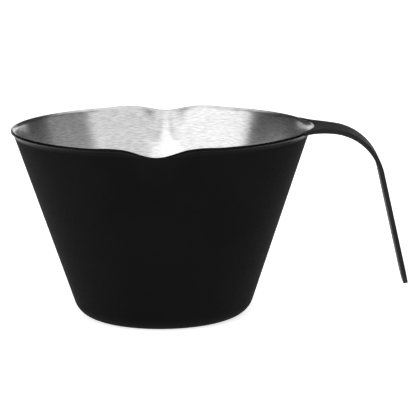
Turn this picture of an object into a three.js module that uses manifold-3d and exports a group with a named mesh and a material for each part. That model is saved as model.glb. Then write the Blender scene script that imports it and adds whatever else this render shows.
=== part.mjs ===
// A small pouring cup with two spouts: a drawn stainless cup, black outside, with a flat strip
// handle welded to its rim. Millimetres, +Z up, the resting face at z = 0, the cup's axis on Z,
// the handle towards +X and the spouts towards -Y and +Y.
import * as THREE from "three";
import Module from "manifold-3d";

const wasm = await Module();
wasm.setup();

// Cup
const CUP_HEIGHT = 51;
const LIP_RADIUS = 39.92;
const SHEET = 0.5;
const COAT = 0.15;
const COAT_GAP = 0.1;
const COAT_OUTSIDE = COAT_GAP + COAT;
const WALL_ANGLE = THREE.MathUtils.degToRad(18.5);
const CORNER_RADIUS = 5.5;
const FLARE_RADIUS = 1.1;
const FLARE_ANGLE = THREE.MathUtils.degToRad(70);

// Spouts, one at each end of the Y axis
const SPOUT_REACH = 2.0;
const SPOUT_DROP = 1.55;
const SPOUT_HALF_WIDTH = 9.4;
const SPOUT_DEPTH = 12.5;
const SHOULDER_RISE = 0.2;
const SHOULDER_OFFSET = 12;
const SHOULDER_WIDTH = 3;

// Lug: the lip reaches out a little where the handle meets it
const LUG_REACH = 0.9;
const LUG_HALF_WIDTH = 6;
const LUG_DEPTH = 2.5;

// Handle
const STRIP_THICKNESS = 1.2;
const ROOT_GAP = 0.25;
const ROOT_SLOPE = THREE.MathUtils.degToRad(6.3);
const ROOT_LENGTH = 5.4;
const ROOT_RISE = 0.3;
const ARCH_RADIUS = 15.3;
const LEG_ANGLE = THREE.MathUtils.degToRad(77.5);
const LEG_END_HEIGHT = 8.25;
const FAN_HALF_ANGLE = THREE.MathUtils.degToRad(21);
const STRIP_WIDTH_AT_ARCH = 14.2;
const STRIP_WIDTH_AT_END = 12.8;
const END_CORNER_RADIUS = 4;
const ROOT_STEPS = 24;

// Weld bead under the lip
const WELD_SIZE = 0.9;
const WELD_HALF_ANGLE = THREE.MathUtils.degToRad(6.5);
const WELD_GAP = 0.12;

const TURN_STEPS = 72;
const SPOUT_CLUSTER = 0.45;

const blackCoat = { color: 0x1b1b1c, roughness: 0.55, metalness: 0.0 };
const brushedSteel = { color: 0xb9b9b7, roughness: 0.35, metalness: 1.0 };

// Points of an arc in the (r, z) half plane, both ends included.
function arc(centre, radius, start, end, steps) {
  const points = [];
  for (let i = 0; i <= steps; i += 1) {
    const a = start + ((end - start) * i) / steps;
    points.push([centre[0] + radius * Math.cos(a), centre[1] + radius * Math.sin(a)]);
  }
  return points;
}

// Centre of the flare in the (r, z) half plane: the wall bends outwards round it to the lip.
const FLARE_CENTRE = [
  LIP_RADIUS + FLARE_RADIUS * Math.cos(FLARE_ANGLE),
  CUP_HEIGHT - (FLARE_RADIUS + SHEET) * Math.sin(FLARE_ANGLE),
];

// Radius of the cup's steel outer wall at a height, with the wall taken straight up and down.
function wallRadius(z) {
  const atFlare = FLARE_CENTRE[0] - FLARE_RADIUS / Math.cos(WALL_ANGLE);
  return atFlare - (FLARE_CENTRE[1] - z) * Math.tan(WALL_ANGLE);
}

// A point on the lip's end: an offset out from the steel's outer face and a length past its end.
function lipPoint(offset, past) {
  const radius = FLARE_RADIUS - offset;
  return [
    FLARE_CENTRE[0] - radius * Math.cos(FLARE_ANGLE) + past * Math.sin(FLARE_ANGLE),
    FLARE_CENTRE[1] + radius * Math.sin(FLARE_ANGLE) + past * Math.cos(FLARE_ANGLE),
  ];
}

// The cup's section, moved outwards from the steel's outer face by an offset (inwards if
// negative), from the axis at the base up to the end of the flare.
function cupSection(offset) {
  const steelBase = COAT_OUTSIDE;
  const cornerRadius = CORNER_RADIUS + offset;
  const cornerZ = steelBase + CORNER_RADIUS;
  const cornerR = wallRadius(cornerZ) - CORNER_RADIUS / Math.cos(WALL_ANGLE);
  const corner = arc([cornerR, cornerZ], cornerRadius, -Math.PI / 2, -WALL_ANGLE, 7);
  const flareRadius = FLARE_RADIUS - offset;
  const flare = arc(FLARE_CENTRE, flareRadius, Math.PI - WALL_ANGLE, Math.PI - FLARE_ANGLE, 5);
  const foot = corner[corner.length - 1];
  const neck = flare[0];
  const wallSteps = [CUP_HEIGHT - 16, CUP_HEIGHT - 12, CUP_HEIGHT - 9, CUP_HEIGHT - 6, CUP_HEIGHT - 3.6];
  const wall = wallSteps.map((z) => {
    const t = (z - foot[1]) / (neck[1] - foot[1]);
    return [foot[0] + t * (neck[0] - foot[0]), z];
  });
  return [[0, steelBase - offset], ...corner, ...wall, ...flare];
}

// How strongly a spout shapes the cup at a place x along the rim and a depth below it: 1 on the
// rim in the middle of the spout, 0 outside the V that narrows down the wall.
function spoutStrength(x, depth) {
  const fade = Math.max(0, 1 - depth / SPOUT_DEPTH);
  const halfWidth = SPOUT_HALF_WIDTH * (0.35 + 0.65 * fade);
  if (Math.abs(x) >= halfWidth) {
    return 0;
  }
  return fade ** 1.5 * Math.cos((Math.PI / 2) * (x / halfWidth)) ** 2;
}

// How far the lip reaches out towards the handle at a place y across it, on the rim.
function lugReach(y) {
  return LUG_REACH * Math.exp(-((y / LUG_HALF_WIDTH) ** 2));
}

// Moves a point of the turned cup to where the pressed spouts and the lug put it.
function pressRim(point) {
  const depth = Math.max(0, CUP_HEIGHT - point.z);
  const fade = Math.max(0, 1 - depth / SPOUT_DEPTH);
  const shoulder = Math.exp(-(((Math.abs(point.x) - SHOULDER_OFFSET) / SHOULDER_WIDTH) ** 2));
  const dip = Math.abs(point.x) < SPOUT_HALF_WIDTH
    ? Math.cos((Math.PI / 2) * (point.x / SPOUT_HALF_WIDTH)) ** 2
    : 0;
  point.z += fade * fade * (SHOULDER_RISE * shoulder - SPOUT_DROP * dip);
  point.y += Math.sign(point.y) * SPOUT_REACH * spoutStrength(point.x, depth);
  if (point.x > 0) {
    point.x += lugReach(point.y) * Math.max(0, 1 - depth / LUG_DEPTH) ** 2;
  }
}

// Turns a section about Z, with its steps closer together near the spouts, and shapes its rim.
function turned(section) {
  const points = section.map(([r, z]) => new THREE.Vector2(r, z));
  const geometry = new THREE.LatheGeometry(points, TURN_STEPS);
  geometry.rotateX(Math.PI / 2);
  const position = geometry.attributes.position;
  const point = new THREE.Vector3();
  for (let i = 0; i < position.count; i += 1) {
    point.fromBufferAttribute(position, i);
    const radius = Math.hypot(point.x, point.y);
    const turn = Math.atan2(point.y, point.x);
    const moved = turn + (SPOUT_CLUSTER / 2) * Math.sin(2 * turn);
    point.x = radius * Math.cos(moved);
    point.y = radius * Math.sin(moved);
    pressRim(point);
    position.setXYZ(i, point.x, point.y, point.z);
  }
  return geometry;
}

// The steel cup: the outer and inner faces of one sheet, which meet at the lip's square end.
function cupShell() {
  const outer = cupSection(0);
  const inner = cupSection(-SHEET).reverse();
  return turned([...outer, ...inner]);
}

// Turns a closed surface inside out, by reading each triangle the other way round.
function insideOut(geometry) {
  const index = geometry.index.array;
  for (let i = 0; i < index.length; i += 3) {
    [index[i], index[i + 1]] = [index[i + 1], index[i]];
  }
  return geometry;
}

// The coat on the cup's outer face and on the lip's end. It is turned from the steel's side, so
// that its facets run the same way as the facets of the steel beside it.
function outerCoating() {
  const inner = cupSection(COAT_GAP);
  const lipEdge = [
    lipPoint(COAT_GAP, COAT_GAP),
    lipPoint(COAT_GAP - SHEET, COAT_GAP),
    lipPoint(COAT_GAP - SHEET, COAT_OUTSIDE),
    lipPoint(COAT_OUTSIDE, COAT_OUTSIDE),
  ];
  const outer = cupSection(COAT_OUTSIDE).reverse();
  return insideOut(turned([...inner, ...lipEdge, ...outer]));
}

function toManifold(geometry) {
  const flat = geometry.index ? geometry.toNonIndexed() : geometry;
  const mesh = new wasm.Mesh({
    numProp: 3,
    vertProperties: new Float32Array(flat.attributes.position.array),
    triVerts: Uint32Array.from({ length: flat.attributes.position.count }, (_, i) => i),
  });
  mesh.merge();
  return new wasm.Manifold(mesh);
}

function toGeometry(manifold) {
  const mesh = manifold.getMesh();
  const geometry = new THREE.BufferGeometry();
  geometry.setAttribute("position", new THREE.BufferAttribute(mesh.vertProperties, 3));
  geometry.setIndex(new THREE.BufferAttribute(mesh.triVerts, 1));
  geometry.computeVertexNormals();
  return geometry;
}

const ROOT_RADIUS = lipPoint(COAT_OUTSIDE, COAT_OUTSIDE)[0] + ROOT_GAP;
const ARCH_START = [
  ROOT_RADIUS + ROOT_LENGTH,
  CUP_HEIGHT + ROOT_RISE - ROOT_LENGTH * Math.tan(ROOT_SLOPE),
];
const ARCH_CENTRE = [
  ARCH_START[0] - ARCH_RADIUS * Math.sin(ROOT_SLOPE),
  ARCH_START[1] - ARCH_RADIUS * Math.cos(ROOT_SLOPE),
];

// A point on the strip's bent section: depth below its outer face, angle turned along the arch.
function archPoint(depth, turn) {
  const radius = ARCH_RADIUS - depth;
  return [ARCH_CENTRE[0] + radius * Math.sin(turn), ARCH_CENTRE[1] + radius * Math.cos(turn)];
}

// Side view of the strip, in (x, z): the root, the arch and the straight leg.
function stripSideShape() {
  const inwards = ROOT_RADIUS - ROOT_LENGTH;
  const rise = (ARCH_START[0] - inwards) * Math.tan(ROOT_SLOPE);
  const outerStart = archPoint(0, ROOT_SLOPE);
  const innerStart = archPoint(STRIP_THICKNESS, ROOT_SLOPE);
  const outerEnd = archPoint(0, LEG_ANGLE);
  const legLength = (outerEnd[1] - LEG_END_HEIGHT) / Math.sin(LEG_ANGLE);
  const down = [legLength * Math.cos(LEG_ANGLE), -legLength * Math.sin(LEG_ANGLE)];
  const innerEnd = archPoint(STRIP_THICKNESS, LEG_ANGLE);
  const shape = new THREE.Shape();
  shape.moveTo(inwards, outerStart[1] + rise);
  shape.lineTo(...outerStart);
  shape.absarc(...ARCH_CENTRE, ARCH_RADIUS, Math.PI / 2 - ROOT_SLOPE, Math.PI / 2 - LEG_ANGLE, true);
  shape.lineTo(outerEnd[0] + down[0], outerEnd[1] + down[1]);
  shape.lineTo(innerEnd[0] + down[0], innerEnd[1] + down[1]);
  shape.lineTo(...innerEnd);
  const innerRadius = ARCH_RADIUS - STRIP_THICKNESS;
  shape.absarc(...ARCH_CENTRE, innerRadius, Math.PI / 2 - LEG_ANGLE, Math.PI / 2 - ROOT_SLOPE, false);
  shape.lineTo(inwards, innerStart[1] + rise);
  return shape;
}

// Top view of the strip, in (x, y): the hollow root that follows the rim, the fan and the taper.
function stripPlanShape() {
  const rootX = ROOT_RADIUS * Math.cos(FAN_HALF_ANGLE);
  const rootY = ROOT_RADIUS * Math.sin(FAN_HALF_ANGLE);
  const archX = ROOT_RADIUS + ROOT_LENGTH + 0.8;
  const archY = STRIP_WIDTH_AT_ARCH / 2;
  const endX = archX + 22;
  const endY = STRIP_WIDTH_AT_END / 2;
  const shape = new THREE.Shape();
  shape.moveTo(rootX, -rootY);
  shape.quadraticCurveTo(rootX + 1.5, 3.8 - rootY, rootX + 5.1, 5.8 - rootY);
  shape.quadraticCurveTo(archX - 0.6, -archY, archX + 2, -archY);
  shape.lineTo(endX, -endY);
  shape.lineTo(endX, endY);
  shape.lineTo(archX + 2, archY);
  shape.quadraticCurveTo(archX - 0.6, archY, rootX + 5.1, rootY - 5.8);
  shape.quadraticCurveTo(rootX + 1.5, rootY - 3.8, rootX, rootY);
  for (let i = 1; i < ROOT_STEPS; i += 1) {
    const a = FAN_HALF_ANGLE * (1 - (2 * i) / ROOT_STEPS);
    const y = ROOT_RADIUS * Math.sin(a);
    shape.lineTo(ROOT_RADIUS * Math.cos(a) + lugReach(y), y);
  }
  return shape;
}

// End view of the strip, in (y, z): rounded lower corners, room for the fan higher up, and a low
// crown that brings the fan's tips level with the lip.
function stripEndShape() {
  const half = STRIP_WIDTH_AT_END / 2 + 0.05;
  const low = LEG_END_HEIGHT - 0.5;
  const corner = END_CORNER_RADIUS;
  const crown = CUP_HEIGHT + ROOT_RISE + 0.25;
  const tips = CUP_HEIGHT - ROOT_RISE;
  const shape = new THREE.Shape();
  shape.moveTo(-half, low + 8);
  shape.lineTo(-half, low + corner);
  shape.absarc(corner - half, low + corner, corner, Math.PI, 1.5 * Math.PI, false);
  shape.lineTo(half - corner, low);
  shape.absarc(half - corner, low + corner, corner, 1.5 * Math.PI, 2 * Math.PI, false);
  shape.lineTo(half, low + 8);
  shape.lineTo(20, low + 30);
  shape.lineTo(20, tips);
  shape.quadraticCurveTo(7, crown, 0, crown);
  shape.quadraticCurveTo(-7, crown, -20, tips);
  shape.lineTo(-20, low + 30);
  return shape;
}

// The bent strip: the part that its side, top and end views have in common.
function handleStrip() {
  const side = new THREE.ExtrudeGeometry(stripSideShape(), {
    depth: 40,
    bevelEnabled: false,
    curveSegments: 14,
  });
  side.translate(0, 0, -20);
  side.rotateX(Math.PI / 2);
  const plan = new THREE.ExtrudeGeometry(stripPlanShape(), {
    depth: 80,
    bevelEnabled: false,
    curveSegments: 8,
  });
  plan.translate(0, 0, -10);
  const end = new THREE.ExtrudeGeometry(stripEndShape(), {
    depth: 60,
    bevelEnabled: false,
    curveSegments: 6,
  });
  end.rotateX(Math.PI / 2);
  end.rotateZ(Math.PI / 2);
  end.translate(20, 0, 0);
  return toGeometry(toManifold(side).intersect(toManifold(plan)).intersect(toManifold(end)));
}

// The weld bead: a small ring section under the lip and the strip's root, cut to a short arc.
function handleWeld() {
  const top = CUP_HEIGHT + ROOT_RISE - STRIP_THICKNESS - 1.6 * WELD_GAP;
  const bottom = top - WELD_SIZE * 0.7;
  const inner = ROOT_RADIUS - WELD_SIZE;
  const outer = ROOT_RADIUS + WELD_SIZE / 2;
  const section = [
    [inner, top - 0.15],
    [inner + 0.05, bottom + 0.12],
    [ROOT_RADIUS - 0.1, bottom],
    [outer, bottom + 0.3],
    [outer + 0.1, top],
    [inner + 0.2, top],
    [inner, top - 0.15],
  ];
  const ring = toManifold(turned(section));
  const reach = ROOT_RADIUS + 10;
  const sector = new THREE.Shape();
  sector.moveTo(0, 0);
  sector.lineTo(reach, -reach * Math.tan(WELD_HALF_ANGLE));
  sector.lineTo(reach, reach * Math.tan(WELD_HALF_ANGLE));
  const wedge = new THREE.ExtrudeGeometry(sector, { depth: 80, bevelEnabled: false });
  return toGeometry(ring.intersect(toManifold(wedge)));
}

function part(name, geometry, look) {
  const mesh = new THREE.Mesh(geometry, new THREE.MeshStandardMaterial(look));
  mesh.name = name;
  return mesh;
}

const group = new THREE.Group();
group.name = "pouring_cup";
group.add(part("cup_shell", cupShell(), brushedSteel));
group.add(part("outer_coating", outerCoating(), blackCoat));
group.add(part("handle_strip", handleStrip(), blackCoat));
group.add(part("handle_weld", handleWeld(), blackCoat));

export default group;
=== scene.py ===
"""Looks for the double-spout pouring cup: a brushed steel inside, a satin black coat outside and
a black strip handle. Lengths are in metres, in the frame of the CAD model: +Z up, the cup's axis
on Z, the handle towards +X and the spouts towards -Y and +Y.
"""

import math

import bpy
from mathutils import Euler, Matrix, Vector


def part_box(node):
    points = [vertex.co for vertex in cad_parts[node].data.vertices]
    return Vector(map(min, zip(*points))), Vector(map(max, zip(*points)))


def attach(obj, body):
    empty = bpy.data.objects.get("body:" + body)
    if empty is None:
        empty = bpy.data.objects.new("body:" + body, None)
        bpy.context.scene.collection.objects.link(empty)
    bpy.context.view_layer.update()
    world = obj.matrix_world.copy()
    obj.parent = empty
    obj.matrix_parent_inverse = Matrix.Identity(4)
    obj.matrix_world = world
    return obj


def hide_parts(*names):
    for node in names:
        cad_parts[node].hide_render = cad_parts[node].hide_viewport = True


MM = 0.001

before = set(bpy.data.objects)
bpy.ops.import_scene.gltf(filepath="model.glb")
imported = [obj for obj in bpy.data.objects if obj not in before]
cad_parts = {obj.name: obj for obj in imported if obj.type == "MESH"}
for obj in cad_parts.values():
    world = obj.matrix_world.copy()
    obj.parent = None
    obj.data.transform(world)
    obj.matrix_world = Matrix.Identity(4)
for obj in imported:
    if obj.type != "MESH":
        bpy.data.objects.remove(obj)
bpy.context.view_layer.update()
shell_low, shell_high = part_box("cup_shell")
coat_low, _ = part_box("outer_coating")
strip_low, strip_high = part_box("handle_strip")

# Cup
SHOULDER_RISE = 0.2 * MM
RIM_Z = shell_high.z - SHOULDER_RISE
LIP_RADIUS = -shell_low.x
STEEL_BASE_Z = shell_low.z
COAT = shell_low.z - coat_low.z
SHEET = 0.5 * MM
WALL_ANGLE = math.radians(18.5)
CORNER_RADIUS = 5.5 * MM
FLARE_RADIUS = 1.1 * MM
FLARE_ANGLE = math.radians(70)

# The lip's end: the steel's eased edge, and the coat's lap over it
STEEL_EDGE_START = 0.3 * MM
STEEL_EDGE_DROP = 0.2 * MM
COAT_LAP_DEPTH = 0.4 * MM
COAT_LAP_LIFT = 0.02 * MM
COAT_ROOT_DEPTH = 0.3 * MM
COAT_ROOT_DROP = 0.1 * MM

# Spouts. They reach 0.03 mm less than in the CAD, because this finer mesh comes nearer to their
# crest; so the visual pieces stay inside the CAD's box.
SPOUT_REACH = 1.97 * MM
SPOUT_DROP = 1.55 * MM
SPOUT_HALF_WIDTH = 9.4 * MM
SPOUT_DEPTH = 12.5 * MM
SPOUT_FOOT_SHARE = 0.35
SPOUT_FADE_POWER = 1.5
SHOULDER_OFFSET = 12 * MM
SHOULDER_WIDTH = 3 * MM

# Lug: the lip reaches out a little where the handle meets it, with a flat-topped outline
LUG_REACH = 0.9 * MM
LUG_HALF_WIDTH = 8 * MM
LUG_POWER = 4
LUG_DEPTH = 2.5 * MM

# Handle: the strip's path in side view. Its root starts a tuck further in than the CAD's, against
# the lip, so that no light shows between them.
STRIP_THICKNESS = 1.2 * MM
ROOT_GAP = 0.25 * MM
ROOT_RADIUS = LIP_RADIUS + COAT * (math.cos(FLARE_ANGLE) + math.sin(FLARE_ANGLE)) + ROOT_GAP
ROOT_TUCK = 0.38 * MM
ROOT_SLOPE = math.radians(6.3)
ROOT_LENGTH = 5.4 * MM
ROOT_RISE = 0.3 * MM
ARCH_RADIUS = 15.3 * MM
LEG_ANGLE = math.radians(77.5)
END_CLEAR = 0.1 * MM

# Handle: the strip's width, with a fan at the root that widens on a soft and a sharp curve
ROOT_HALF_WIDTH = 14.5 * MM
ARCH_HALF_WIDTH = 7.1 * MM
END_HALF_WIDTH = 6.4 * MM
END_CORNER_RADIUS = 4 * MM
STRIP_EDGE_ROUND = 0.28 * MM
FAN_LENGTH = 6 * MM
FAN_SOFT_SHARE, FAN_SOFT_POWER = 0.55, 1.6
FAN_SHARP_SHARE, FAN_SHARP_POWER = 0.45, 5

# Handle: how the root follows the rim, dips under the lip and thins towards the fan's tips
FOLLOW_LENGTH = 7 * MM
FOLLOW_POWER = 1.5
ROOT_FADE_LENGTH = 4 * MM
ROOT_DIP = 0.35 * MM
TIP_DIP = 0.35 * MM
TIP_THINNING = 0.85

# Weld bead under the lip
WELD_TUCK = 0.05 * MM
WELD_HALF_REACH = 0.55 * MM
WELD_HALF_HEIGHT = 0.38 * MM
WELD_RIPPLES = 9
WELD_RIPPLE_SHARE = 0.06
WELD_END_POWER = 6

# Coat: between these depths below the rim its roughness changes from the wall's to the lip's
LIP_BLEND_LOW = 2.1 * MM
LIP_BLEND_HIGH = 1.4 * MM

# Most of a soft noise's values lie between these
CLOUD_LOW, CLOUD_HIGH = 0.3, 0.7

# Keeps the floor sheet from sharing a plane with the cup's resting face
FLOOR_CLEAR = 0.03 * MM

# Mesh steps of the cup: round it, clustered at the spouts, and along its section, which is finer
# above the fine wall's depth
TURN_STEPS = 320
SPOUT_CLUSTER = 0.45
FINE_WALL_DEPTH = 14 * MM
BASE_STEPS = 8
CORNER_STEPS = 16
LOW_WALL_STEPS = 6
HIGH_WALL_STEPS = 18
FLARE_STEPS = 12
STEEL_EDGE_STEPS = 5
COAT_LAP_STEPS = 12

# Mesh steps of the strip and the weld bead, and the steps that look for the strip's length and
# width
STATION_STEP = 0.4 * MM
SEEK_STEP = 0.02 * MM
END_STEPS = 14
HALVINGS = 30
SECTION_ACROSS_STEPS = 16
SECTION_CORNER_STEPS = 5
WELD_LENGTH_STEPS = 72
WELD_ROUND_STEPS = 16


# ---------------------------------------------------------------- shapes

def make_object(name, vertices, faces, material):
    """A smooth-shaded object with one material, linked to the scene."""
    mesh = bpy.data.meshes.new(name)
    mesh.from_pydata(vertices, [], faces)
    mesh.update()
    mesh.shade_smooth()
    mesh.materials.append(material)
    obj = bpy.data.objects.new(name, mesh)
    bpy.context.scene.collection.objects.link(obj)
    return obj


def arc(centre, radius, start, end, steps):
    """Points of an arc in the (r, z) half plane, both ends included."""
    points = []
    for i in range(steps + 1):
        a = start + (end - start) * i / steps
        points.append((centre[0] + radius * math.cos(a), centre[1] + radius * math.sin(a)))
    return points


def line(start, end, steps):
    """Points of a straight line, without its start."""
    return [
        (start[0] + (end[0] - start[0]) * i / steps, start[1] + (end[1] - start[1]) * i / steps)
        for i in range(1, steps + 1)
    ]


FLARE_CENTRE = (
    LIP_RADIUS + FLARE_RADIUS * math.cos(FLARE_ANGLE),
    RIM_Z - (FLARE_RADIUS + SHEET) * math.sin(FLARE_ANGLE),
)


def wall_radius(z):
    """Radius of the steel's outer face at a height, with the wall taken straight up and down."""
    at_flare = FLARE_CENTRE[0] - FLARE_RADIUS / math.cos(WALL_ANGLE)
    return at_flare - (FLARE_CENTRE[1] - z) * math.tan(WALL_ANGLE)


def lip_point(offset, past):
    """A point on the lip's end: an offset from the steel's outer face, a length past its end."""
    radius = FLARE_RADIUS - offset
    return (
        FLARE_CENTRE[0] - radius * math.cos(FLARE_ANGLE) + past * math.sin(FLARE_ANGLE),
        FLARE_CENTRE[1] + radius * math.sin(FLARE_ANGLE) + past * math.cos(FLARE_ANGLE),
    )


def curve(start, pull, end, steps):
    """A quadratic curve from start to end, both included."""
    points = []
    for i in range(steps + 1):
        t = i / steps
        points.append(tuple(
            (1 - t) ** 2 * a + 2 * t * (1 - t) * b + t * t * c
            for a, b, c in zip(start, pull, end)
        ))
    return points


def cup_section(offset):
    """The cup's section, offset outwards from the steel's outer face, from the axis to the lip."""
    corner_z = STEEL_BASE_Z + CORNER_RADIUS
    corner_r = wall_radius(corner_z) - CORNER_RADIUS / math.cos(WALL_ANGLE)
    corner = arc(
        (corner_r, corner_z), CORNER_RADIUS + offset, -math.pi / 2, -WALL_ANGLE, CORNER_STEPS
    )
    flare = arc(
        FLARE_CENTRE, FLARE_RADIUS - offset,
        math.pi - WALL_ANGLE, math.pi - FLARE_ANGLE, FLARE_STEPS,
    )
    base_z = STEEL_BASE_Z - offset
    base = [(0.0, base_z)] + line((0.0, base_z), corner[0], BASE_STEPS)[:-1]
    below_spouts = RIM_Z - FINE_WALL_DEPTH
    share = (below_spouts - corner[-1][1]) / (flare[0][1] - corner[-1][1])
    spout_foot = (
        corner[-1][0] + share * (flare[0][0] - corner[-1][0]),
        below_spouts,
    )
    low_wall = line(corner[-1], spout_foot, LOW_WALL_STEPS)
    high_wall = line(spout_foot, flare[0], HIGH_WALL_STEPS)[:-1]
    return base + corner + low_wall + high_wall + flare


def spout_strength(x, depth):
    """1 on the rim in the middle of a spout, 0 outside the V that narrows down the wall."""
    fade = max(0.0, 1 - depth / SPOUT_DEPTH)
    half_width = SPOUT_HALF_WIDTH * (SPOUT_FOOT_SHARE + (1 - SPOUT_FOOT_SHARE) * fade)
    if abs(x) >= half_width:
        return 0.0
    return fade**SPOUT_FADE_POWER * math.cos(math.pi / 2 * x / half_width) ** 2


def lug_reach(y):
    """How far the lip reaches out towards the handle at a place y across it."""
    return LUG_REACH * math.exp(-((y / LUG_HALF_WIDTH) ** LUG_POWER))


def press_rim(x, y, z):
    """Moves a point of the turned cup to where the pressed spouts and the lug put it."""
    depth = max(0.0, RIM_Z - z)
    fade = max(0.0, 1 - depth / SPOUT_DEPTH)
    shoulder = math.exp(-(((abs(x) - SHOULDER_OFFSET) / SHOULDER_WIDTH) ** 2))
    dip = 0.0
    if abs(x) < SPOUT_HALF_WIDTH:
        dip = math.cos(math.pi / 2 * x / SPOUT_HALF_WIDTH) ** 2
    lifted = z + fade * fade * (SHOULDER_RISE * shoulder - SPOUT_DROP * dip)
    reached = y + math.copysign(SPOUT_REACH * spout_strength(x, depth), y)
    if x > 0:
        x += lug_reach(reached) * max(0.0, 1 - depth / LUG_DEPTH) ** 2
    return (x, reached, lifted)


def turned(name, section, material):
    """Turns a section that starts and ends on the axis, and presses the spouts into it."""
    vertices = []
    rings = []
    for r, z in section:
        if r < 1e-9:
            rings.append([len(vertices)])
            vertices.append((0.0, 0.0, z))
            continue
        ring = []
        for i in range(TURN_STEPS):
            even = 2 * math.pi * i / TURN_STEPS
            a = even + SPOUT_CLUSTER / 2 * math.sin(2 * even)
            ring.append(len(vertices))
            vertices.append(press_rim(r * math.cos(a), r * math.sin(a), z))
        rings.append(ring)
    faces = []
    for low, high in zip(rings, rings[1:]):
        for i in range(TURN_STEPS):
            j = (i + 1) % TURN_STEPS
            if len(low) == 1:
                faces.append((low[0], high[j], high[i]))
            elif len(high) == 1:
                faces.append((low[i], low[j], high[0]))
            else:
                faces.append((low[i], low[j], high[j], high[i]))
    return make_object(name, vertices, faces, material)


def cup_steel(material):
    """The whole drawn sheet: its outer face, its eased lip edge and its inner face."""
    edge = curve(
        lip_point(-STEEL_EDGE_START, 0), lip_point(-SHEET, 0),
        lip_point(-SHEET, -STEEL_EDGE_DROP), STEEL_EDGE_STEPS,
    )
    section = cup_section(0) + edge + cup_section(-SHEET)[:-1][::-1]
    return turned("cup_steel", section, material)


def cup_coat(material):
    """The black coat: over the outside, round the lip's edge and just onto its top."""
    under = lip_point(COAT, COAT)
    over = lip_point(-COAT_LAP_DEPTH, COAT_LAP_LIFT)
    lap = curve(under, (under[0], over[1]), over, COAT_LAP_STEPS)
    lap.append(lip_point(-COAT_ROOT_DEPTH, -COAT_ROOT_DROP))
    section = cup_section(COAT) + lap + cup_section(0)[:-1][::-1]
    return turned("cup_coat", section, material)


def strip_outline(x):
    """Half the strip's width in top view at a distance x from the cup's axis."""
    arch_x = ROOT_RADIUS + FAN_LENGTH
    root_x = math.sqrt(ROOT_RADIUS**2 - ROOT_HALF_WIDTH**2)
    if x >= arch_x:
        t = min(1.0, (x - arch_x) / (strip_high.x - arch_x))
        return ARCH_HALF_WIDTH + t * (END_HALF_WIDTH - ARCH_HALF_WIDTH)
    t = max(0.0, (arch_x - x) / (arch_x - root_x))
    fan = FAN_SOFT_SHARE * t**FAN_SOFT_POWER + FAN_SHARP_SHARE * t**FAN_SHARP_POWER
    return ARCH_HALF_WIDTH + (ROOT_HALF_WIDTH - ARCH_HALF_WIDTH) * fan


def rim_follow(across, s):
    """How far back a point at a length s and a place across the strip sits, to follow the rim."""
    settle = max(0.0, 1 - s / FOLLOW_LENGTH) ** FOLLOW_POWER
    sideways = min(abs(across), ROOT_HALF_WIDTH)
    return settle * (ROOT_RADIUS - math.sqrt(ROOT_RADIUS**2 - sideways**2) - lug_reach(across))


def near_root(s):
    """1 at the strip's root, falling to 0 within the fade's length."""
    return max(0.0, 1 - max(0.0, s) / ROOT_FADE_LENGTH) ** 2


def root_dip(across, s):
    """How far the strip dips under the lip near its root, most at the tips of its fan."""
    return near_root(s) * (ROOT_DIP + TIP_DIP * (abs(across) / ROOT_HALF_WIDTH) ** 3)


def root_thinning(across, s):
    """The share of the strip's lower half that is ground away, most at the tips of its fan."""
    return TIP_THINNING * near_root(s) * (abs(across) / ROOT_HALF_WIDTH) ** 2


def strip_half_width(s):
    """Half the strip's width at a length s, where its edge crosses the outline in top view."""
    x = strip_path(s)[0]
    low, high = END_HALF_WIDTH / 2, ROOT_HALF_WIDTH
    for _ in range(HALVINGS):
        mid = (low + high) / 2
        if mid < strip_outline(x - rim_follow(mid, s)):
            low = mid
        else:
            high = mid
    return low


def strip_path(s):
    """The middle of the strip at a length s from the root: (x, z, slope angle)."""
    start_z = RIM_Z + ROOT_RISE - ROOT_LENGTH * math.tan(ROOT_SLOPE)
    start = (ROOT_RADIUS + ROOT_LENGTH, start_z)
    centre = (
        start[0] - ARCH_RADIUS * math.sin(ROOT_SLOPE),
        start[1] - ARCH_RADIUS * math.cos(ROOT_SLOPE),
    )
    mid = ARCH_RADIUS - STRIP_THICKNESS / 2
    root_run = ROOT_LENGTH / math.cos(ROOT_SLOPE)
    arch_run = mid * (LEG_ANGLE - ROOT_SLOPE)
    slope = ROOT_SLOPE + min(max(0.0, s - root_run), arch_run) / mid
    ahead = min(0.0, s - root_run) + max(0.0, s - root_run - arch_run)
    x = centre[0] + mid * math.sin(slope) + ahead * math.cos(slope)
    z = centre[1] + mid * math.cos(slope) - ahead * math.sin(slope)
    return x, z, slope


def strip_section_loop(half_width, half_thickness, rounding):
    """A closed loop (across, up) of the strip's section: the eased edges, joined by flat faces."""
    loop = []
    inner = half_width - rounding
    for side_x, side_z, first in ((1, 1, 90), (1, -1, 0), (-1, -1, -90), (-1, 1, -180)):
        for i in range(SECTION_CORNER_STEPS + 1):
            a = math.radians(first - 90 * i / SECTION_CORNER_STEPS)
            loop.append((
                side_x * inner + rounding * math.cos(a),
                side_z * (half_thickness - rounding) + rounding * math.sin(a),
            ))
        end_x, end_z = loop[-1]
        if side_x != side_z:
            for k in range(1, SECTION_ACROSS_STEPS):
                run = 2 * inner * k / SECTION_ACROSS_STEPS
                loop.append((end_x - side_x * run, end_z))
    return loop


def strip_cap(ring, turn):
    """Faces across one end of the strip, between the lower half of its loop and the upper half."""
    first_low = SECTION_CORNER_STEPS + 1
    last_low = first_low + len(ring) // 2 - 1
    faces = []
    for i in range(first_low, last_low):
        above = 2 * first_low - 1 - i
        corners = (ring[i], ring[i + 1], ring[(above - 1) % len(ring)], ring[above % len(ring)])
        faces.append(corners[::turn])
    return faces


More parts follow.
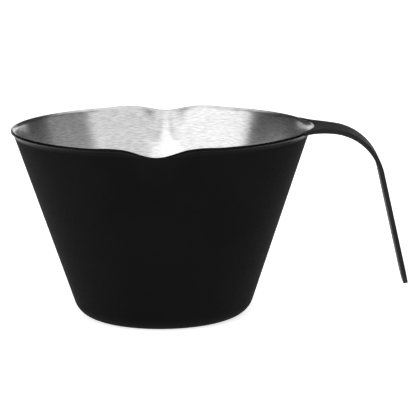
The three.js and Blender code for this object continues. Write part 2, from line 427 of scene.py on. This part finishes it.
def strip_stations():
    """The lengths along the strip where its section is set, and where its rounded end starts."""
    length = 0.0
    while strip_path(length)[1] > strip_low.z + END_CLEAR:
        length += SEEK_STEP
    body = length - END_CORNER_RADIUS
    count = int((body + ROOT_TUCK) / STATION_STEP)
    stations = [k * STATION_STEP - ROOT_TUCK for k in range(count)]
    for k in range(END_STEPS + 1):
        stations.append(body + END_CORNER_RADIUS * math.sin(math.pi / 2 * k / END_STEPS))
    return stations, body


def handle(material):
    """The bent strip: its fanned root follows the rim, and its free end is rounded."""
    stations, body = strip_stations()
    vertices = []
    loops = []
    for index, s in enumerate(stations):
        x, z, slope = strip_path(s)
        half = strip_half_width(s)
        into_end = max(0.0, s - body)
        half -= END_CORNER_RADIUS - math.sqrt(max(0.0, END_CORNER_RADIUS**2 - into_end**2))
        rounding = STRIP_EDGE_ROUND
        thickness = STRIP_THICKNESS / 2
        if index == len(stations) - 1:
            ease = rounding * 0.6
            half -= ease
            thickness -= ease
            rounding /= 2
        ring = []
        for across, up in strip_section_loop(half, thickness, rounding):
            back = rim_follow(across, s)
            if up < 0:
                up *= 1 - root_thinning(across, s)
            ring.append(len(vertices))
            vertices.append((
                x - back * math.cos(slope) + up * math.sin(slope),
                across,
                z + back * math.sin(slope) + up * math.cos(slope) - root_dip(across, s),
            ))
        loops.append(ring)
    faces = []
    for a, b in zip(loops, loops[1:]):
        for i in range(len(a)):
            j = (i + 1) % len(a)
            faces.append((a[i], a[j], b[j], b[i]))
    faces += strip_cap(loops[0], -1) + strip_cap(loops[-1], 1)
    return make_object("handle", vertices, faces, material)


def weld(material):
    """The bead under the lip: a short row of overlapping weld ripples."""
    low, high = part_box("handle_weld")
    centre_r = ROOT_RADIUS - WELD_TUCK
    centre_z = (low.z + high.z) / 2
    half_angle = math.atan2(high.y, ROOT_RADIUS)
    vertices = []
    loops = []
    for i in range(WELD_LENGTH_STEPS + 1):
        t = -1 + 2 * i / WELD_LENGTH_STEPS
        a = half_angle * t
        ripple = 1 + WELD_RIPPLE_SHARE * abs(math.sin(math.pi * WELD_RIPPLES * t))
        taper = math.sqrt(max(0.0, 1 - abs(t) ** WELD_END_POWER)) * ripple
        ring = []
        for k in range(WELD_ROUND_STEPS):
            b = 2 * math.pi * k / WELD_ROUND_STEPS
            r = centre_r + WELD_HALF_REACH * taper * math.cos(b)
            z = centre_z + WELD_HALF_HEIGHT * taper * math.sin(b)
            ring.append(len(vertices))
            vertices.append(press_rim(r * math.cos(a), r * math.sin(a), z))
        loops.append(ring)
    faces = []
    for a, b in zip(loops, loops[1:]):
        for i in range(WELD_ROUND_STEPS):
            j = (i + 1) % WELD_ROUND_STEPS
            faces.append((a[i], b[i], b[j], a[j]))
    faces.append(tuple(loops[0]))
    faces.append(tuple(loops[-1][::-1]))
    return make_object("weld_bead", vertices, faces, material)


# ------------------------------------------------------------- materials

class Nodes:
    """A material's node tree, with short calls to add and link nodes."""

    def __init__(self, name):
        self.material = bpy.data.materials.new(name)
        self.material.use_nodes = True
        self.tree = self.material.node_tree
        self.shader = self.tree.nodes["Principled BSDF"]

    def add(self, kind, **settings):
        node = self.tree.nodes.new(kind)
        for key, value in settings.items():
            setattr(node, key, value)
        return node

    def link(self, output, socket):
        self.tree.links.new(output, socket)

    def math(self, operation, a, b=0.0):
        node = self.add("ShaderNodeMath", operation=operation)
        for socket, value in zip(node.inputs, (a, b)):
            if isinstance(value, (int, float)):
                socket.default_value = value
            else:
                self.link(value, socket)
        return node.outputs[0]

    def noise(self, vector, scale, detail, roughness):
        node = self.add("ShaderNodeTexNoise")
        node.inputs["Scale"].default_value = scale
        node.inputs["Detail"].default_value = detail
        node.inputs["Roughness"].default_value = roughness
        self.link(vector, node.inputs["Vector"])
        return node.outputs["Fac"]

    def ramp(self, value, low, high, to_low, to_high):
        node = self.add("ShaderNodeMapRange")
        node.inputs["From Min"].default_value = low
        node.inputs["From Max"].default_value = high
        node.inputs["To Min"].default_value = to_low
        node.inputs["To Max"].default_value = to_high
        self.link(value, node.inputs["Value"])
        return node.outputs["Result"]

    def grey(self, value):
        node = self.add("ShaderNodeCombineColor")
        for socket in node.inputs[:3]:
            self.link(value, socket)
        return node.outputs[0]

    def bump(self, height, distance, normal=None):
        node = self.add("ShaderNodeBump")
        node.inputs["Distance"].default_value = distance
        node.inputs["Strength"].default_value = 1.0
        self.link(height, node.inputs["Height"])
        if normal is not None:
            self.link(normal, node.inputs["Normal"])
        return node.outputs["Normal"]

    def place(self):
        """The point on the object, in metres."""
        return self.add("ShaderNodeTexCoord").outputs["Object"]


def brushed_steel():
    """Steel brushed round the cup: fine scratches that run along circles about the axis."""
    scale_round, scale_across = 520.0, 5200.0
    streak_low, streak_high = 0.36, 0.64
    relief_height = 0.0005 * MM
    n = Nodes("brushed_steel")
    place = n.place()
    split = n.add("ShaderNodeSeparateXYZ")
    n.link(place, split.inputs[0])
    x, y, z = split.outputs
    radius = n.math("SQRT", n.math("ADD", n.math("MULTIPLY", x, x), n.math("MULTIPLY", y, y)))
    along_wall = n.math("ADD", radius, z)
    streak_place = n.add("ShaderNodeCombineXYZ")
    n.link(n.math("MULTIPLY", x, scale_round), streak_place.inputs[0])
    n.link(n.math("MULTIPLY", y, scale_round), streak_place.inputs[1])
    n.link(n.math("MULTIPLY", along_wall, scale_across), streak_place.inputs[2])
    streaks = n.noise(streak_place.outputs[0], scale=1.0, detail=2.0, roughness=0.5)
    grain = n.noise(place, scale=3200.0, detail=2.0, roughness=0.5)
    cloud = n.noise(place, scale=45.0, detail=3.0, roughness=0.5)
    streak_tone = n.ramp(streaks, streak_low, streak_high, 0.50, 0.79)
    cloud_tone = n.ramp(cloud, CLOUD_LOW, CLOUD_HIGH, 0.96, 1.0)
    n.link(n.grey(n.math("MULTIPLY", streak_tone, cloud_tone)), n.shader.inputs["Base Color"])
    n.link(n.ramp(streaks, streak_low, streak_high, 0.28, 0.32), n.shader.inputs["Roughness"])
    n.shader.inputs["Metallic"].default_value = 1.0
    n.shader.inputs["Anisotropic"].default_value = 0.75
    n.shader.inputs["Anisotropic Rotation"].default_value = 0.25
    tangent = n.add("ShaderNodeTangent", direction_type="RADIAL", axis="Z")
    n.link(tangent.outputs[0], n.shader.inputs["Tangent"])
    relief = n.bump(streaks, relief_height)
    n.link(n.bump(grain, relief_height, relief), n.shader.inputs["Normal"])
    return n.material


def black_coat(name, tone_low, tone_high, rough_low, rough_high, lip_share):
    """A satin black coat with a fine, slightly uneven surface, smoother by a share on the lip."""
    n = Nodes(name)
    place = n.place()
    peel = n.noise(place, scale=1400.0, detail=3.0, roughness=0.55)
    fine = n.noise(place, scale=5200.0, detail=2.0, roughness=0.5)
    cloud = n.noise(place, scale=60.0, detail=3.0, roughness=0.5)
    tone = n.ramp(cloud, CLOUD_LOW, CLOUD_HIGH, tone_low, tone_high)
    n.link(n.grey(tone), n.shader.inputs["Base Color"])
    height = n.add("ShaderNodeSeparateXYZ")
    n.link(place, height.inputs[0])
    to_lip = n.ramp(
        height.outputs[2], RIM_Z - LIP_BLEND_LOW, RIM_Z - LIP_BLEND_HIGH, 1.0, lip_share
    )
    rough = n.ramp(peel, CLOUD_LOW, CLOUD_HIGH, rough_low, rough_high)
    n.link(n.math("MULTIPLY", rough, to_lip), n.shader.inputs["Roughness"])
    n.shader.inputs["Specular IOR Level"].default_value = 0.05
    relief = n.bump(peel, 0.006 * MM)
    n.link(n.bump(fine, 0.002 * MM, relief), n.shader.inputs["Normal"])
    return n.material


def pale_sheet():
    """The floor's paint, which glows a little so that it stays pale in every shadow."""
    n = Nodes("pale_sheet")
    n.shader.inputs["Base Color"].default_value = (0.82, 0.82, 0.82, 1)
    n.shader.inputs["Roughness"].default_value = 0.9
    n.shader.inputs["Emission Color"].default_value = (1, 1, 1, 1)
    n.shader.inputs["Emission Strength"].default_value = 0.76
    return n.material


# ------------------------------------------------------- light and camera

def area_light(name, place, aim, size, power):
    """A rectangular soft light at a place, turned to face another."""
    data = bpy.data.lights.new(name, "AREA")
    data.shape = "RECTANGLE"
    data.size, data.size_y = size
    data.energy = power
    obj = bpy.data.objects.new(name, data)
    obj.location = place
    obj.rotation_euler = (Vector(aim) - Vector(place)).to_track_quat("-Z", "Y").to_euler()
    bpy.context.scene.collection.objects.link(obj)


def stage_sheet():
    """The pale floor, which turns up a little far behind the cup."""
    half_width = 0.9
    front, bend_y, bend, top = -1.0, 1.0, 0.1, 0.2
    bend_steps = 24
    outline = [(front, 0.0)]
    for i in range(bend_steps + 1):
        a = math.pi / 2 * i / bend_steps
        outline.append((bend_y + bend * math.sin(a), bend * (1 - math.cos(a))))
    outline.append((bend_y + bend, top))
    vertices = [(side * half_width, y, z - FLOOR_CLEAR) for y, z in outline for side in (-1, 1)]
    faces = [(2 * i, 2 * i + 1, 2 * i + 3, 2 * i + 2) for i in range(len(outline) - 1)]
    return make_object("stage_sheet", vertices, faces, pale_sheet())


def around_cup(azimuth, elevation, distance):
    """A place around the cup's rim: azimuth 0 is towards the handle, -90 towards the camera."""
    a, e = math.radians(azimuth), math.radians(elevation)
    return (
        distance * math.cos(e) * math.cos(a),
        distance * math.cos(e) * math.sin(a),
        RIM_Z + distance * math.sin(e),
    )


def studio():
    """A plain soft studio: two large lights in front, a small one, one by the handle, one above."""
    world = bpy.data.worlds.new("studio")
    bpy.context.scene.world = world
    world.use_nodes = True
    background = world.node_tree.nodes["Background"]
    background.inputs["Color"].default_value = (1, 1, 1, 1)
    background.inputs["Strength"].default_value = 0.04
    aim = (0, 0, RIM_Z)
    area_light("front_left", around_cup(-134, 24, 0.95), aim, (1.3, 0.6), 4.3)
    area_light("front", around_cup(-60, 24, 0.95), aim, (1.33, 0.6), 2.8)
    area_light("front_centre", around_cup(-92, 39, 0.9), aim, (0.4, 0.4), 0.75)
    area_light("right", around_cup(-5, 18, 0.95), aim, (1.0, 0.5), 0.5)
    area_light("top", (0, 0, 0.95), aim, (1.5, 1.5), 8.0)
    stage_sheet()
    bpy.context.scene.view_settings.view_transform = "Standard"


def camera():
    """The camera at the photograph's angle and distance."""
    focal_pixels = 2000
    image_pixels = 416
    distance = 538.9 * MM
    elevation = math.radians(11.0)
    around = math.radians(0.55)
    roll = math.radians(-0.5)
    target = Vector((12.2 * MM, 0, RIM_Z - 22.45 * MM))
    back = Vector((0, -math.cos(elevation), math.sin(elevation))) * distance
    turn = Matrix.Rotation(around, 4, "Z")
    data = bpy.data.cameras.new("camera")
    data.lens = focal_pixels / image_pixels * data.sensor_width
    data.clip_start = 0.05
    obj = bpy.data.objects.new("camera", data)
    bpy.context.scene.collection.objects.link(obj)
    obj.location = turn @ (target + back)
    facing = Euler((math.pi / 2 - elevation, 0, around)).to_matrix().to_4x4()
    obj.rotation_euler = (facing @ Matrix.Rotation(roll, 4, "Z")).to_euler()
    bpy.context.scene.camera = obj


# ----------------------------------------------------------------- scene

steel = brushed_steel()
coat = black_coat("satin_black", 0.0022, 0.0032, 0.70, 0.82, lip_share=0.36)
# The strip and weld wear the same satin black as the cup, but their copy of it gets a lighter tone:
# painted light for the handle's brighter look.
painted_lighter_strip_coat = black_coat("satin_black_strip_painted_lighter", 0.014, 0.018, 0.52, 0.60, lip_share=1.0)

pieces = {
    "cup_shell": (cup_steel(steel), "steel"),
    "outer_coating": (cup_coat(coat), "black_coat"),
    "handle_strip": (handle(painted_lighter_strip_coat), "black_strip"),
    "handle_weld": (weld(painted_lighter_strip_coat), "black_weld"),
}
for node, (piece, slot) in pieces.items():
    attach(piece, "root")
    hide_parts(node)

studio()
camera()
